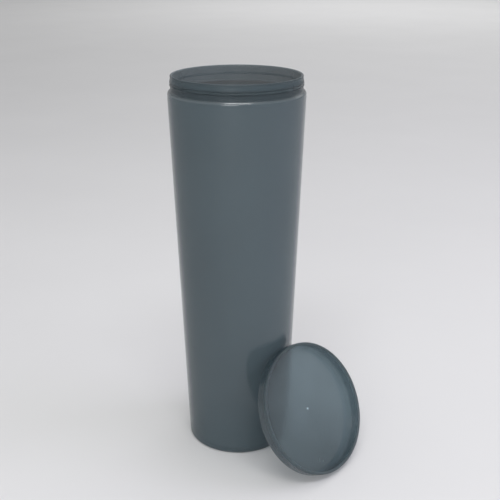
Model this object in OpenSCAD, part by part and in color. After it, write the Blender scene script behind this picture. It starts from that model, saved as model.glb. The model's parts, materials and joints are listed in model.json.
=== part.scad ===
// Tall tapered tumbler barrel with an open neck, a seal ring round the neck,
// and a shallow snap lid that stands on its edge and leans against the barrel.
// Origin: centre of the barrel's flat base. +Z is up. The lid leans on the +X side.

/* [Barrel] */
// Largest outer diameter, at the shoulder
shoulder_d = 120; // [110:1:140]
// Outer diameter at the foot of the taper
base_d = 96; // [80:1:104]
// Height of the rim above the base
barrel_h = 349; // [250:1:400]
// Thickness of the side wall
wall = 2; // [1.6:0.1:2.4]
// Thickness of the base
base_t = 2.5; // [2:0.1:4]
// Radius of the shoulder's curve
shoulder_round = 3.8; // [3.4:0.1:4.2]

/* [Neck] */
// Height of the neck, from the shoulder's widest point to the rim
neck_h = 16.6; // [16:0.1:24]
// How far the neck stands inside the shoulder, measured on the radius
neck_inset = 2.7; // [2.5:0.1:2.9]
// Thickness of the neck wall
neck_wall = 2.1; // [2.1:0.1:2.4]
// How far the snap bead stands out from the neck
bead_out = 0.5; // [0.4:0.1:0.7]
// Distance from the rim down to the bead's lower edge
bead_foot = 8.8; // [8.6:0.1:9]

/* [Seal ring] */
// Thickness of the seal ring's round section
seal_d = 1.8; // [1.7:0.05:1.9]
// Distance from the rim down to the middle of the seal ring
seal_drop = 7.5; // [7.3:0.1:7.6]

/* [Lid] */
// Overall height of the lid, from the outer face of its plate to its lip
lid_h = 11.4; // [11.3:0.1:12]
// Thickness of the lid's plate
plate_t = 1.5; // [1.2:0.1:1.6]
// Thickness of the lid's skirt
skirt_t = 1.55; // [1.5:0.05:1.7]
// Height at which the lid's open side faces, above level
lean_angle = 30.6; // [25:0.1:45]
// Sideways distance of the lid's centre from the barrel's middle plane
lid_side = 3.5; // [0:0.5:6]
// Gap left between the lid's top edge and the barrel it leans on
lean_gap = 0.3; // [0.2:0.1:1]

/* [Hidden] */
$fn = 180;

shoulder_r = shoulder_d / 2;
base_r = base_d / 2;
shoulder_z = barrel_h - neck_h;
taper = (shoulder_r - base_r) / shoulder_z;
base_round = 1.5;
inner_round = 3;

// The neck rises out of the shoulder's curve before the curve has turned level.
neck_r = shoulder_r - neck_inset;
bore_r = neck_r - neck_wall;
curve_r = shoulder_r - shoulder_round;
neck_foot_z = shoulder_z + sqrt(pow(shoulder_round, 2) - pow(neck_r - curve_r, 2));
ceiling_z = shoulder_z + shoulder_round - wall;
rim_round = 1.05;
rim_waist = 2;
waist_in = 0.3;
bead_ramp = 5.6;
bead_r = neck_r + bead_out;
bead_chamfer = 0.5;

seal_gland = 2.1;
gland_depth = 0.9;
gland_r = neck_r - gland_depth;
seal_pinch = 0.05;
seal_r = gland_r + seal_d / 2 - seal_pinch;

lid_r = shoulder_r;
skirt_r = lid_r - skirt_t;
lid_round = 1.5;
lid_fillet = 0.5;
snap_round = 0.9;
snap_rise = 0.1;
gate_r = 1.2;
gate_h = 0.45;
gate_bevel = 0.25;
root = 0.2; // how far the snap ridge and the gate mark run into the wall they stand on

// The lid's rounded back edge touches the floor below and the barrel above.
arm = lid_r - lid_round;
back_z = arm * cos(lean_angle) + lid_round * (1 - sin(lean_angle));
top_z = back_z + lid_round * sin(lean_angle) + arm * cos(lean_angle);
stand_off = (lid_round + lean_gap) * sqrt(1 + taper * taper);
top_x = base_r + taper * top_z + stand_off;
back_x = top_x - lid_round * cos(lean_angle) + arm * sin(lean_angle);

shell_color = [0.31, 0.37, 0.39];
seal_color = [0.26, 0.31, 0.33];
lid_color = [0.36, 0.41, 0.43];

// Solid outline of the barrel: foot corner, taper, curved shoulder and neck.
module barrel_outline() {
    polygon([
        [0, 0],
        [base_r - base_round, 0],
        [base_r, base_round],
        [shoulder_r, shoulder_z],
        [neck_r, neck_foot_z],
        [0, neck_foot_z]
    ]);
    translate([base_r - base_round, base_round]) circle(r = base_round);
    translate([curve_r, shoulder_z]) circle(r = shoulder_round);
    neck_outline();
}

// The neck: plain below, then the bead's step, its long ramp, a waist and the round rim.
module neck_outline() {
    rim_z = barrel_h - rim_round;
    polygon([
        [0, shoulder_z],
        [neck_r, shoulder_z],
        [neck_r, barrel_h - bead_foot - bead_chamfer],
        [bead_r, barrel_h - bead_foot],
        [bead_r, barrel_h - bead_ramp],
        [neck_r - waist_in, barrel_h - rim_waist],
        [bore_r + 2 * rim_round, rim_z],
        [0, rim_z]
    ]);
    translate([bore_r + rim_round, rim_z]) circle(r = rim_round);
}

// The hollow inside: it follows the taper and turns in under the shoulder to the bore.
module barrel_hollow() {
    floor_r = base_r - wall + taper * base_t;
    polygon([
        [0, base_t],
        [floor_r - inner_round, base_t],
        [floor_r + taper * inner_round, base_t + inner_round],
        [shoulder_r - wall, shoulder_z],
        [curve_r, ceiling_z],
        [0, ceiling_z]
    ]);
    translate([floor_r - inner_round, base_t + inner_round]) circle(r = inner_round);
    translate([curve_r, shoulder_z]) circle(r = shoulder_round - wall);
    translate([0, shoulder_z]) square([bore_r, neck_h]);
}

// One-piece moulded barrel with the groove that holds the seal ring.
module barrel_shell() {
    color(shell_color)
    rotate_extrude()
    difference() {
        barrel_outline();
        barrel_hollow();
        translate([gland_r, barrel_h - seal_drop - seal_gland / 2]) square([shoulder_r, seal_gland]);
    }
}

// Round rubber ring stretched into the neck's groove.
module neck_seal() {
    color(seal_color)
    translate([0, 0, barrel_h - seal_drop])
    rotate_extrude()
    translate([seal_r, 0]) circle(d = seal_d);
}

// Lid section: plate, rounded edge, skirt with a round lip, inward snap ridge and gate mark.
module lid_section() {
    lip_z = lid_h - skirt_t / 2;
    difference() {
        union() {
            polygon([[0, 0], [arm, 0], [lid_r, lid_round], [lid_r, lip_z], [0, lip_z]]);
            translate([arm, lid_round]) circle(r = lid_round);
            translate([lid_r - skirt_t / 2, lip_z]) circle(d = skirt_t);
        }
        translate([0, plate_t]) square([skirt_r - lid_fillet, lid_h]);
        translate([0, plate_t + lid_fillet]) square([skirt_r, lid_h]);
        translate([skirt_r - lid_fillet, plate_t + lid_fillet]) circle(r = lid_fillet);
    }
    intersection() {
        translate([skirt_r, lid_h - snap_round - snap_rise]) circle(r = snap_round);
        translate([skirt_r - snap_round, plate_t]) square([snap_round + root, lid_h - plate_t]);
    }
    gate_z = plate_t + gate_h;
    polygon([[0, plate_t - root], [gate_r, plate_t - root], [gate_r - gate_bevel, gate_z], [0, gate_z]]);
}

// The lid as it leans: open side out and up, back edge on the floor and on the barrel.
module lid() {
    color(lid_color)
    translate([back_x, lid_side, back_z])
    rotate([0, 90 - lean_angle, 0])
    rotate_extrude()
    lid_section();
}

barrel_shell();
neck_seal();
lid();
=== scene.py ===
import json
import math

import bmesh
import bpy
from mathutils import Matrix, Vector


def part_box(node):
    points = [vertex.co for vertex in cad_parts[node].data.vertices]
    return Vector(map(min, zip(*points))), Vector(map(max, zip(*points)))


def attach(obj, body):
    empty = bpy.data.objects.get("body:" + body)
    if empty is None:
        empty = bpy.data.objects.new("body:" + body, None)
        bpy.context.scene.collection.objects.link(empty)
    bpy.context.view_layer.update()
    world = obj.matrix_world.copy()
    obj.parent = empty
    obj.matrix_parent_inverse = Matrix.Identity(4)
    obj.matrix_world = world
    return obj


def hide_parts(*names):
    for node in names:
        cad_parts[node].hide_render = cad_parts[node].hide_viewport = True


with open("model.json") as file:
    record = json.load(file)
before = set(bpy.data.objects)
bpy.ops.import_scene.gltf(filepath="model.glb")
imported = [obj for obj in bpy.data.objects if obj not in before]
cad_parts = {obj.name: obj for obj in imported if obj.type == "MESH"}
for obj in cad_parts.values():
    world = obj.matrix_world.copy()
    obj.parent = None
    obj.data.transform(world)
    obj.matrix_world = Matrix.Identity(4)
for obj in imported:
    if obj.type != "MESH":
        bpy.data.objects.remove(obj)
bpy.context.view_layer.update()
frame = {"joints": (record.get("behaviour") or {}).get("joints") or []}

TURN = 2 * math.pi
SEGMENTS = 240
ON_AXIS = 1e-7

# ---------------------------------------------------------------- sizes, in metres

barrel_low, barrel_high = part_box("barrel_shell")
lid_low, lid_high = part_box("lid")
seal_low, seal_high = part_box("neck_seal")

SHOULDER_R = (barrel_high.x - barrel_low.x) / 2
BARREL_H = barrel_high.z
BASE_R = 0.048
WALL = 0.002
BASE_T = 0.0025
NECK_H = 0.0166
SHOULDER_ROUND = 0.0038
BASE_ROUND = 0.0015
INNER_ROUND = 0.003
SHOULDER_Z = BARREL_H - NECK_H
TAPER = (SHOULDER_R - BASE_R) / SHOULDER_Z
NECK_R = SHOULDER_R - 0.0027
BORE_R = NECK_R - 0.0021
CURVE_R = SHOULDER_R - SHOULDER_ROUND
NECK_FOOT_Z = SHOULDER_Z + math.sqrt(SHOULDER_ROUND**2 - (NECK_R - CURVE_R) ** 2)
CEILING_Z = SHOULDER_Z + SHOULDER_ROUND - WALL
RIM_ROUND = 0.00105
BEAD_R = NECK_R + 0.0005
BEAD_FOOT = 0.0088
BEAD_TOP = 0.0056
BEAD_EDGE = 0.0003
WAIST = 0.002
WAIST_IN = 0.0003
NECK_BLEND = 0.00005
BORE_EDGE = 0.0005
SEAL_ROUND = (seal_high.z - seal_low.z) / 2
SEAL_Z = (seal_high.z + seal_low.z) / 2
SEAL_R = (seal_high.x - seal_low.x) / 2 - SEAL_ROUND
GLAND_HALF = 0.00105
GLAND_R = NECK_R - 0.0009
GLAND_LOW_EDGE = 0.0001
GLAND_HIGH_EDGE = 0.0002

LID_R = (lid_high.y - lid_low.y) / 2
LID_H = 0.0114
PLATE_T = 0.0015
SKIRT_T = 0.00155
SKIRT_R = LID_R - SKIRT_T
LID_ROUND = 0.0015
LID_FILLET = 0.0005
SNAP_ROUND = 0.0009
SNAP_DROP = 0.0001
SNAP_FOOT = 0.0003
GATE_R = 0.0012
GATE_H = 0.00045
GATE_BEVEL = 0.00025
GATE_DISH = 0.00012


# ---------------------------------------------------------------- turned shapes


def arc(centre_r, centre_z, radius, start, end, steps=8):
    """Points of a circular arc in the half plane (r, z), angles in degrees."""
    points = []
    for i in range(steps + 1):
        a = math.radians(start + (end - start) * i / steps)
        points.append((centre_r + radius * math.cos(a), centre_z + radius * math.sin(a)))
    return points


def line(start, end, steps):
    """Points strictly between two profile points, so long walls keep even faces."""
    points = []
    for i in range(1, steps):
        t = i / steps
        points.append((start[0] + (end[0] - start[0]) * t, start[1] + (end[1] - start[1]) * t))
    return points


def turned(name, profile, closed=False, segments=SEGMENTS):
    """A mesh turned round Z from a profile of (r, z), closed at the axis where r is 0."""
    bm = bmesh.new()
    rings = []
    for r, z in profile:
        if r < ON_AXIS:
            rings.append([bm.verts.new((0, 0, z))])
            continue
        ring = []
        for k in range(segments):
            a = TURN * k / segments
            ring.append(bm.verts.new((r * math.cos(a), r * math.sin(a), z)))
        rings.append(ring)
    pairs = list(zip(rings[:-1], rings[1:]))
    if closed:
        pairs.append((rings[-1], rings[0]))
    for low, high in pairs:
        for k in range(segments):
            n = (k + 1) % segments
            if len(low) == 1:
                bm.faces.new((low[0], high[n], high[k]))
            elif len(high) == 1:
                bm.faces.new((low[k], low[n], high[0]))
            else:
                bm.faces.new((low[k], low[n], high[n], high[k]))
    bmesh.ops.recalc_face_normals(bm, faces=bm.faces)
    mesh = bpy.data.meshes.new(name)
    bm.to_mesh(mesh)
    bm.free()
    mesh.shade_smooth()
    piece = bpy.data.objects.new(name, mesh)
    bpy.context.scene.collection.objects.link(piece)
    return piece


def barrel_profile():
    """Foot, taper, shoulder, neck with bead and seal groove, rim, then the inside down."""
    floor_r = BASE_R - WALL + TAPER * BASE_T
    rim_z = BARREL_H - RIM_ROUND
    foot = (BASE_R, BASE_ROUND)
    shoulder = (SHOULDER_R, SHOULDER_Z)
    inner_foot = (floor_r + TAPER * INNER_ROUND, BASE_T + INNER_ROUND)
    inner_top = (SHOULDER_R - WALL, SHOULDER_Z)
    bead_z = BARREL_H - BEAD_FOOT
    gland_low, gland_high = SEAL_Z - GLAND_HALF, SEAL_Z + GLAND_HALF
    bead_top = (BEAD_R, BARREL_H - BEAD_TOP)
    waist = (NECK_R - WAIST_IN, BARREL_H - WAIST)
    points = [(0, 0)]
    points += line((0, 0), (BASE_R - BASE_ROUND, 0), 12)
    points += arc(BASE_R - BASE_ROUND, BASE_ROUND, BASE_ROUND, -90, 0)
    points += line(foot, shoulder, 90)
    points += arc(CURVE_R, SHOULDER_Z, SHOULDER_ROUND, 0, 68, 14)
    points += [(NECK_R + NECK_BLEND, NECK_FOOT_Z + NECK_BLEND), (NECK_R, NECK_FOOT_Z + 5 * NECK_BLEND)]
    points += line(points[-1], (NECK_R, bead_z - 2 * BEAD_EDGE), 3)
    points += arc(NECK_R + BEAD_EDGE, bead_z - 2 * BEAD_EDGE, BEAD_EDGE, 180, 135, 3)
    points += arc(BEAD_R - BEAD_EDGE, bead_z + BEAD_EDGE / 3, BEAD_EDGE, -45, 0, 4)
    points += arc(BEAD_R - GLAND_LOW_EDGE, gland_low - GLAND_LOW_EDGE, GLAND_LOW_EDGE, 0, 90, 3)
    points += [(GLAND_R, gland_low), (GLAND_R, gland_high)]
    points += arc(BEAD_R - GLAND_HIGH_EDGE, gland_high + GLAND_HIGH_EDGE, GLAND_HIGH_EDGE, -90, 0, 3)
    points += [bead_top]
    points += line(bead_top, waist, 4)
    points += [waist]
    points += arc(BORE_R + RIM_ROUND, rim_z, RIM_ROUND, -20, 180, 14)
    points += line((BORE_R, rim_z), (BORE_R, CEILING_Z + BORE_EDGE), 5)
    points += arc(BORE_R + BORE_EDGE, CEILING_Z + BORE_EDGE, BORE_EDGE, 180, 270, 5)
    points += arc(CURVE_R, SHOULDER_Z, SHOULDER_ROUND - WALL, 85, 0, 6)
    points += line(inner_top, inner_foot, 60)
    points += arc(floor_r - INNER_ROUND, BASE_T + INNER_ROUND, INNER_ROUND, 0, -90, 8)
    points += line((floor_r - INNER_ROUND, BASE_T), (0, BASE_T), 12)
    points += [(0, BASE_T)]
    return points


def lid_profile():
    """Plate back, rounded edge, skirt, round lip, snap ridge, inner wall, fillet and gate mark."""
    lip = SKIRT_T / 2
    snap_z = LID_H - SNAP_ROUND - SNAP_DROP
    points = [(0, 0)]
    points += line((0, 0), (LID_R - LID_ROUND, 0), 16)
    points += arc(LID_R - LID_ROUND, LID_ROUND, LID_ROUND, -90, 0)
    points += line((LID_R, LID_ROUND), (LID_R, LID_H - lip), 8)
    points += arc(LID_R - lip, LID_H - lip, lip, 0, 110, 10)
    points += arc(SKIRT_R, snap_z, SNAP_ROUND, 115, 250, 12)
    points += [(SKIRT_R, snap_z - SNAP_ROUND - SNAP_FOOT)]
    points += line(points[-1], (SKIRT_R, PLATE_T + LID_FILLET), 6)
    points += arc(SKIRT_R - LID_FILLET, PLATE_T + LID_FILLET, LID_FILLET, 0, -90, 8)
    dish_z = PLATE_T - GATE_DISH
    points += line((SKIRT_R - LID_FILLET, PLATE_T), (GATE_R * 3, PLATE_T), 16)
    points += [(GATE_R * 3, PLATE_T), (GATE_R * 2.4, dish_z), (GATE_R * 1.2, dish_z)]
    points += [(GATE_R, PLATE_T), (GATE_R - GATE_BEVEL, PLATE_T + GATE_H), (0, PLATE_T + GATE_H)]
    return points


# ---------------------------------------------------------------- materials

PLASTIC_IOR = 1.55
BODY_SHINE = 0.5
POLISHED_SHINE = 1.7
# The neck's painted shade fades in between these two radii, so it lies on the outside only.
SHADE_FROM_R = NECK_R - 0.0013
SHADE_FULL_R = NECK_R - 0.0004
# The dark blue-grey painted over the lid's skirt as shade.
SKIRT_SHADE = (0, 0.035, 0.055)


def nodes_of(material):
    material.use_nodes = True
    tree = material.node_tree
    return tree.nodes, tree.links, tree.nodes["Principled BSDF"]


def noise(nodes, links, vector, scale, detail=4.0, roughness=0.55):
    node = nodes.new("ShaderNodeTexNoise")
    node.inputs["Scale"].default_value = scale
    node.inputs["Detail"].default_value = detail
    node.inputs["Roughness"].default_value = roughness
    links.new(vector, node.inputs["Vector"])
    return node.outputs["Fac"]


def stretched(nodes, links, scale):
    coordinates = nodes.new("ShaderNodeTexCoord")
    mapping = nodes.new("ShaderNodeMapping")
    mapping.inputs["Scale"].default_value = scale
    links.new(coordinates.outputs["Object"], mapping.inputs["Vector"])
    return mapping.outputs["Vector"]


def ramp(nodes, links, value, stops):
    node = nodes.new("ShaderNodeValToRGB")
    links.new(value, node.inputs["Fac"])
    while len(node.color_ramp.elements) < len(stops):
        node.color_ramp.elements.new(0.5)
    for element, (place, colour) in zip(node.color_ramp.elements, stops):
        element.position = place
        element.color = (*colour, 1.0)
    return node.outputs["Color"]


def mixed(nodes, links, factor, first, second, blend="MIX"):
    node = nodes.new("ShaderNodeMix")
    node.data_type = "RGBA"
    node.blend_type = blend
    for socket, value in (("Factor", factor), ("A", first), ("B", second)):
        target = [s for s in node.inputs if s.name == socket and s.enabled][0]
        if hasattr(value, "links"):
            links.new(value, target)
        elif isinstance(value, tuple):
            target.default_value = (*value, 1.0)
        else:
            target.default_value = value
    return [s for s in node.outputs if s.enabled][0]


def span(nodes, links, value, low, high, to_low, to_high):
    node = nodes.new("ShaderNodeMapRange")
    node.inputs["From Min"].default_value = low
    node.inputs["From Max"].default_value = high
    node.inputs["To Min"].default_value = to_low
    node.inputs["To Max"].default_value = to_high
    links.new(value, node.inputs["Value"])
    return node.outputs["Result"]


def banded(nodes, links, value, stops):
    """Several levels along one coordinate, each stop a (place, level) pair, joined by ramps."""
    low, high = stops[0][0], stops[-1][0]
    along = span(nodes, links, value, low, high, 0, 1)
    return ramp(nodes, links, along, [((p - low) / (high - low), (v, v, v)) for p, v in stops])


def added(nodes, links, first, second):
    node = nodes.new("ShaderNodeMath")
    links.new(first, node.inputs[0])
    links.new(second, node.inputs[1])
    return node.outputs[0]


def bumped(nodes, links, height, strength, distance, under=None):
    node = nodes.new("ShaderNodeBump")
    node.inputs["Strength"].default_value = strength
    node.inputs["Distance"].default_value = distance
    links.new(height, node.inputs["Height"])
    if under is not None:
        links.new(under, node.inputs["Normal"])
    return node.outputs["Normal"]


def worn_tone(nodes, links, colour, plain, along):
    """The base colour in soft clouds, with upright flow marks and pale worn edges."""
    dark = tuple(c * 0.93 for c in colour)
    light = tuple(min(1, c * 1.07) for c in colour)
    clouds = ramp(nodes, links, noise(nodes, links, plain, 14), [(0.3, dark), (0.7, light)])
    marks = [(0.35, (0.95, 0.96, 0.97)), (0.65, (1.0, 1.0, 1.0))]
    flow = ramp(nodes, links, noise(nodes, links, along, 55, 5), marks)
    tone = mixed(nodes, links, 0.8, clouds, flow, "MULTIPLY")
    edge = nodes.new("ShaderNodeNewGeometry").outputs["Pointiness"]
    worn = span(nodes, links, edge, 0.52, 0.62, 0, 0.12)
    pale = tuple(min(1, c * 1.7 + 0.02) for c in colour)
    return mixed(nodes, links, worn, tone, pale)


def neck_painted_shade(nodes, links, tone, away, height, shade):
    """Painted shade: darkens the outside of the neck by the levels in shade, for the shadow in
    its recess and to dim the lit bead and rim, and leaves the bore unshaded.
    """
    outside = span(nodes, links, away, SHADE_FROM_R, SHADE_FULL_R, 0, 1)
    painted_shade = banded(nodes, links, height, shade)
    return mixed(nodes, links, outside, tone, mixed(nodes, links, 1.0, tone, painted_shade, "MULTIPLY"))


def lid_marks_and_skirt_shade(nodes, links, tone, away, colour, gate):
    """A pale gate mark in a dark ring, and painted shade on the skirt: a dark blue-grey mixed
    in, so the skirt's walls read as shaded and darker than the plate.
    """
    ring = span(nodes, links, away, gate * 1.9, gate * 1.2, 0, 0.55)
    tone = mixed(nodes, links, ring, tone, tuple(c * 0.4 for c in colour))
    # Painted shade on the skirt's walls.
    skirt = span(nodes, links, away, SKIRT_R - 0.001, SKIRT_R, 0, 0.34)
    tone = mixed(nodes, links, skirt, tone, SKIRT_SHADE)
    white = span(nodes, links, away, gate * 1.05, gate * 0.6, 0, 0.65)
    return mixed(nodes, links, white, tone, tuple(c * 5 + 0.1 for c in colour))


def moulded_plastic(name, colour, alpha, rough, clear=0.0, gate=0.0, shade=(), dull=(), polish=()):
    """Moulded polypropylene: fine grain, soft flow marks, pale worn edges, faint rub marks.

    shade, dull and polish give how dark, how rough and how shiny it is along Z: shade is painted
    shade on the outside of the neck, in its recess and over the bead and rim; dull is for the
    rubbed rim and lip, and polish for the shoulder that hands have polished. gate is the radius
    of the lid's gate mark; with it the lid's skirt also gets painted shade.
    """
    material = bpy.data.materials.new(name)
    nodes, links, shader = nodes_of(material)
    plain = stretched(nodes, links, (1, 1, 1))
    along = stretched(nodes, links, (1, 1, 0.12))
    round_it = stretched(nodes, links, (0.25, 0.25, 9))
    place = nodes.new("ShaderNodeSeparateXYZ")
    links.new(plain, place.inputs[0])
    height = place.outputs["Z"]
    axis = nodes.new("ShaderNodeVectorMath")
    axis.operation = "LENGTH"
    links.new(stretched(nodes, links, (1, 1, 0)), axis.inputs[0])
    away = axis.outputs["Value"]

    tone = worn_tone(nodes, links, colour, plain, along)
    # Painted shade goes into the base colour here: on the outside of the neck, and with a gate, on the
    # lid's skirt.
    if shade:
        tone = neck_painted_shade(nodes, links, tone, away, height, shade)
    if gate > 0:
        tone = lid_marks_and_skirt_shade(nodes, links, tone, away, colour, gate)
    links.new(tone, shader.inputs["Base Color"])

    haze = span(nodes, links, noise(nodes, links, plain, 30, 5), 0.3, 0.7, rough - 0.03, rough + 0.04)
    rubs = span(nodes, links, noise(nodes, links, round_it, 120, 6, 0.7), 0.6, 0.75, 0.0, 0.06)
    roughness = added(nodes, links, haze, rubs)
    if dull:
        roughness = added(nodes, links, roughness, banded(nodes, links, height, dull))
    links.new(roughness, shader.inputs["Roughness"])
    if polish:
        links.new(banded(nodes, links, height, polish), shader.inputs["Specular IOR Level"])

    grain = bumped(nodes, links, noise(nodes, links, plain, 1800, 3), 0.03, 0.00004)
    waves = bumped(nodes, links, noise(nodes, links, along, 38, 2), 0.10, 0.0003, grain)
    links.new(waves, shader.inputs["Normal"])
    shader.inputs["Alpha"].default_value = alpha
    shader.inputs["Transmission Weight"].default_value = clear
    shader.inputs["IOR"].default_value = PLASTIC_IOR
    return material


def seal_rubber(name, colour, alpha):
    """Smooth moulded silicone, a little see-through, with a faint bloom and a fine grain."""
    material = bpy.data.materials.new(name)
    nodes, links, shader = nodes_of(material)
    plain = stretched(nodes, links, (1, 1, 1))
    pale = tuple(c * 1.5 for c in colour)
    bloom = ramp(nodes, links, noise(nodes, links, plain, 90), [(0.35, colour), (0.75, pale)])
    links.new(bloom, shader.inputs["Base Color"])
    haze = span(nodes, links, noise(nodes, links, plain, 160), 0.3, 0.7, 0.26, 0.36)
    links.new(haze, shader.inputs["Roughness"])
    grain = bumped(nodes, links, noise(nodes, links, plain, 2600, 2), 0.15, 0.0001)
    links.new(grain, shader.inputs["Normal"])
    shader.inputs["Alpha"].default_value = alpha
    return material


def floor_material():
    material = bpy.data.materials.new("studio_floor")
    nodes, links, shader = nodes_of(material)
    plain = stretched(nodes, links, (1, 1, 1))
    shades = [(0.3, (0.70, 0.70, 0.705)), (0.7, (0.72, 0.72, 0.725))]
    paper = ramp(nodes, links, noise(nodes, links, plain, 3), shades)
    links.new(paper, shader.inputs["Base Color"])
    shader.inputs["Roughness"].default_value = 0.75
    return material


# ---------------------------------------------------------------- the object

BARREL_COLOUR = (0.078, 0.110, 0.127)
LID_COLOUR = (0.198, 0.264, 0.295)
SEAL_COLOUR = (0.09, 0.122, 0.135)
BARREL_ALPHA = 0.68
SEAL_ALPHA = 0.2
LID_CLEAR = 0.80

# Levels along Z, each a (height, level) pair. The neck's recess runs from NECK_LOW to NECK_HIGH.
NECK_LOW = NECK_FOOT_Z - 0.0006
NECK_HIGH = BARREL_H - BEAD_FOOT
POLISH_TOP = SHOULDER_Z + 0.0024
# neck_shade is painted shade: darker for the shadow in the recess under the bead and round the seal,
# and dimmer over the lit bead and rim.
neck_shade = [(0, 1), (NECK_LOW - 0.0008, 1), (NECK_LOW, 0.52), (NECK_HIGH - 0.0006, 0.52)]
neck_shade += [(NECK_HIGH, 0.32), (SEAL_Z + 0.001, 0.4), (BARREL_H - 0.0038, 0.8)]
neck_shade += [(BARREL_H - 0.002, 0.8), (BARREL_H, 0.5)]
rim_dull = [(0, 0.08), (SHOULDER_Z - 0.001, 0.08), (SHOULDER_Z, 0), (POLISH_TOP, 0)]
rim_dull += [(NECK_LOW, 0.25), (BARREL_H - 0.0025, 0.25), (BARREL_H - 0.001, 0.4), (BARREL_H, 0.4)]
shoulder_polish = [(0, BODY_SHINE), (SHOULDER_Z + 0.0004, BODY_SHINE)]
shoulder_polish += [(SHOULDER_Z + 0.001, POLISHED_SHINE), (POLISH_TOP, POLISHED_SHINE)]
shoulder_polish += [(NECK_LOW, 0.25), (BARREL_H - 0.0015, 0.2), (BARREL_H, BODY_SHINE)]
lip_dull = [(0, 0), (LID_H - 0.003, 0), (LID_H - 0.002, 0.35), (LID_H, 0.35)]
lip_polish = [(0, BODY_SHINE), (LID_H - 0.003, BODY_SHINE), (LID_H - 0.002, 0.15), (LID_H, 0.15)]

barrel_plastic = moulded_plastic(
    "barrel_plastic", BARREL_COLOUR, BARREL_ALPHA, 0.09,
    shade=neck_shade, dull=rim_dull, polish=shoulder_polish,
)
lid_plastic = moulded_plastic(
    "lid_plastic", LID_COLOUR, 1.0, 0.20,
    clear=LID_CLEAR, gate=GATE_R, dull=lip_dull, polish=lip_polish,
)
rubber = seal_rubber("seal_rubber", SEAL_COLOUR, SEAL_ALPHA)

barrel = turned("barrel_moulding", barrel_profile())
barrel.data.materials.append(barrel_plastic)
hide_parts("barrel_shell")
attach(barrel, "barrel")

seal = turned("seal_ring", arc(SEAL_R, SEAL_Z, SEAL_ROUND, 0, 345, 23), closed=True)
seal.data.materials.append(rubber)
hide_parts("neck_seal")
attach(seal, "barrel")

# The lid's own axis is its joint's axis; its back edge fixes where it stands.
lid_axis = Vector(frame["joints"][0]["axis"]).normalized()
lid_arm = LID_R - LID_ROUND
lid_back = Vector((
    lid_low.x + LID_ROUND - LID_ROUND * lid_axis.x + lid_arm * lid_axis.z,
    (lid_low.y + lid_high.y) / 2,
    lid_low.z + LID_ROUND - LID_ROUND * lid_axis.z + lid_arm * lid_axis.x,
))
lid = turned("lid_moulding", lid_profile())
lean = Vector((0, 0, 1)).rotation_difference(lid_axis).to_matrix().to_4x4()
lid.matrix_world = Matrix.Translation(lid_back) @ lean
lid.data.materials.append(lid_plastic)
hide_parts("lid")
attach(lid, "lid")

# ---------------------------------------------------------------- camera, floor and light

# The camera stands round the barrel from -Y towards +X, a little to one side of its axis.
ORBIT = math.radians(41.8)
PITCH = math.radians(20.67)
CAMERA_BACK = 0.7144
CAMERA_SIDE = 0.0113
CAMERA_UP = 0.4575
LENS = 59.5
SENSOR = 36

right = Vector((math.cos(ORBIT), math.sin(ORBIT), 0))
near = Vector((math.sin(ORBIT), -math.cos(ORBIT), 0))
up = Vector((0, 0, 1))


def studio(side, front, height):
    """A point given as distances to the camera's right, towards the camera, and up."""
    return right * side + near * front + up * height


camera_data = bpy.data.cameras.new("photo_camera")
camera_data.lens = LENS
camera_data.sensor_width = SENSOR
camera = bpy.data.objects.new("photo_camera", camera_data)
bpy.context.scene.collection.objects.link(camera)
camera.location = studio(CAMERA_SIDE, CAMERA_BACK, CAMERA_UP)
camera.rotation_euler = (math.pi / 2 - PITCH, 0, ORBIT)
bpy.context.scene.camera = camera

FLOOR_R = 9.0
FLOOR_DROP = 0.0004
floor = turned("studio_floor", [(0, 0), (0.6, 0), (2.0, 0), (FLOOR_R, 0)], segments=96)
floor.data.materials.append(floor_material())
floor.location.z = -FLOOR_DROP


def softbox(name, place, aim, width, height, power, colour=(1, 1, 1), mirrored=True):
    """A soft light; one that isn't mirrored leaves no highlight of its own on the plastic."""
    data = bpy.data.lights.new(name, "AREA")
    data.shape = "RECTANGLE"
    data.size = width
    data.size_y = height
    data.energy = power
    data.color = colour
    lamp = bpy.data.objects.new(name, data)
    lamp.location = place
    lamp.rotation_euler = (aim - place).to_track_quat("-Z", "Y").to_euler()
    lamp.visible_glossy = mirrored
    bpy.context.scene.collection.objects.link(lamp)


middle = Vector((0, 0, BARREL_H / 2))
cool = (1.0, 0.96, 1.15)
softbox("front_window", studio(0.02, 1.1, 1.9), middle, 1.2, 0.45, 13.5)
softbox("front_low", studio(-0.3, 1.6, 0.6), middle, 0.8, 0.8, 5.3)
softbox("right_low", studio(1.3, 1.1, 0.75), middle, 0.5, 0.5, 2.6, mirrored=False)
softbox("overhead", studio(0.0, 0.0, 1.6), middle, 1.2, 1.2, 3.8)
softbox("right_side", studio(2.4, 0.2, 1.6), studio(1.4, 0.2, 0), 1.6, 1.6, 18.5, cool, mirrored=False)
softbox("back_right", studio(1.0, -2.3, 1.8), studio(1.0, -2.3, 0), 2.0, 2.0, 4)
softbox("far_right", studio(3.5, -4.5, 2.5), studio(2.5, -4.5, 0), 4.0, 4.0, 37)
softbox("far_middle", studio(0.6, -5.5, 2.0), studio(0.5, -5.5, 0), 2.5, 2.5, 22)

WORLD_STRENGTH = 0.486
world = bpy.data.worlds.new("studio_world")
world.use_nodes = True
world.node_tree.nodes["Background"].inputs["Color"].default_value = (1, 1, 1, 1)
world.node_tree.nodes["Background"].inputs["Strength"].default_value = WORLD_STRENGTH
bpy.context.scene.world = world
bpy.context.scene.view_settings.view_transform = "Standard"
